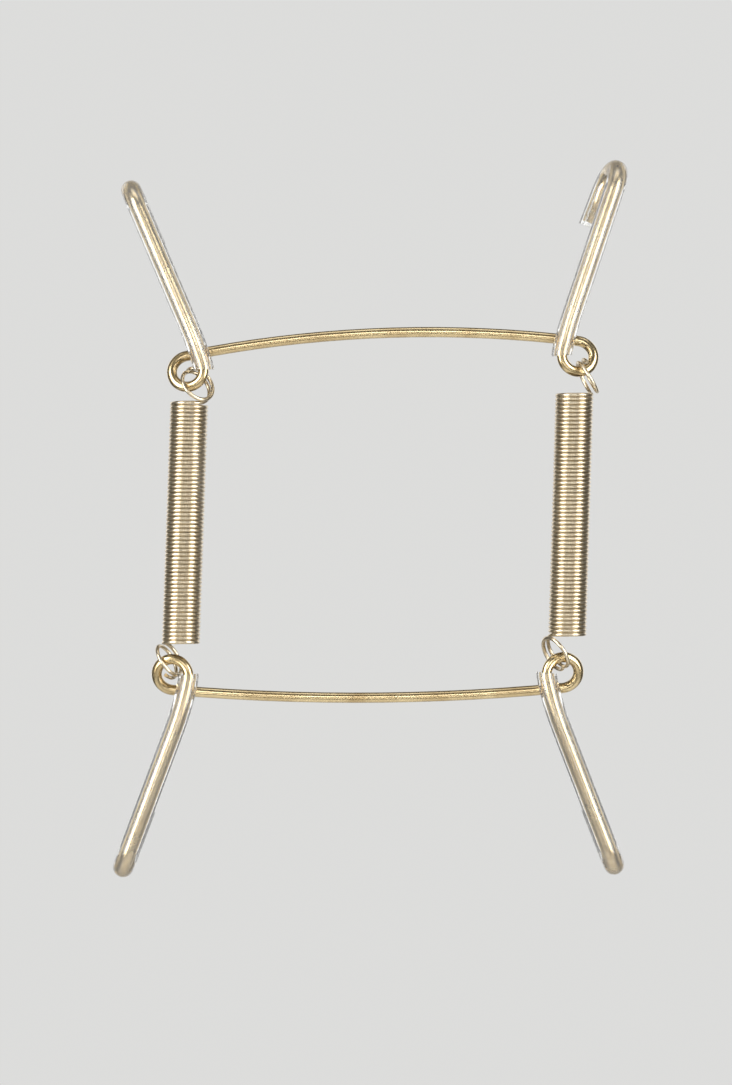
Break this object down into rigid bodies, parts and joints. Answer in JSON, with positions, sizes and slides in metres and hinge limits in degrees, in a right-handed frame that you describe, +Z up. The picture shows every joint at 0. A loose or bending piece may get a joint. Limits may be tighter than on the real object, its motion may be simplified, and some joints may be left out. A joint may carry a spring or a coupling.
{
  "type": "sprung wire plate hanger",
  "caption": "Sprung wire plate hanger: bent brass-plated wires with sleeved rim hooks, joined by close-wound extension springs that stretch to grip a plate.",
  "frame": {"origin": "centre of the wire in the middle of the upper bow, where the hanger hangs on its wall hook", "axes": "+Z up, +Y from the wall towards the plate, +X to the right of someone who looks at the wall side"},
  "size_m": [0.0785, 0.015, 0.1096],
  "materials": {
    "plated_wire": "bright plated, slightly worn",
    "spring_wire": "bright plated, slightly worn",
    "clear_vinyl": "clear, glossy"
  },
  "bodies": {
    "upper_frame": {"upper_wire": "plated_wire", "upper_left_sleeve": "clear_vinyl", "upper_right_sleeve": "clear_vinyl", "left_spring": "spring_wire", "right_spring": "spring_wire"},
    "lower_frame": {"lower_wire": "plated_wire", "lower_left_sleeve": "clear_vinyl", "lower_right_sleeve": "clear_vinyl"}
  },
  "joints": [
    {"name": "spring_stretch", "type": "slide", "parent": "upper_frame", "child": "lower_frame", "axis": [0, 0, -1], "range_m": [0, 0.058], "stiffness_N_per_m": 265, "springref_m": -0.005, "deforming": ["left_spring", "right_spring"]}
  ]
}
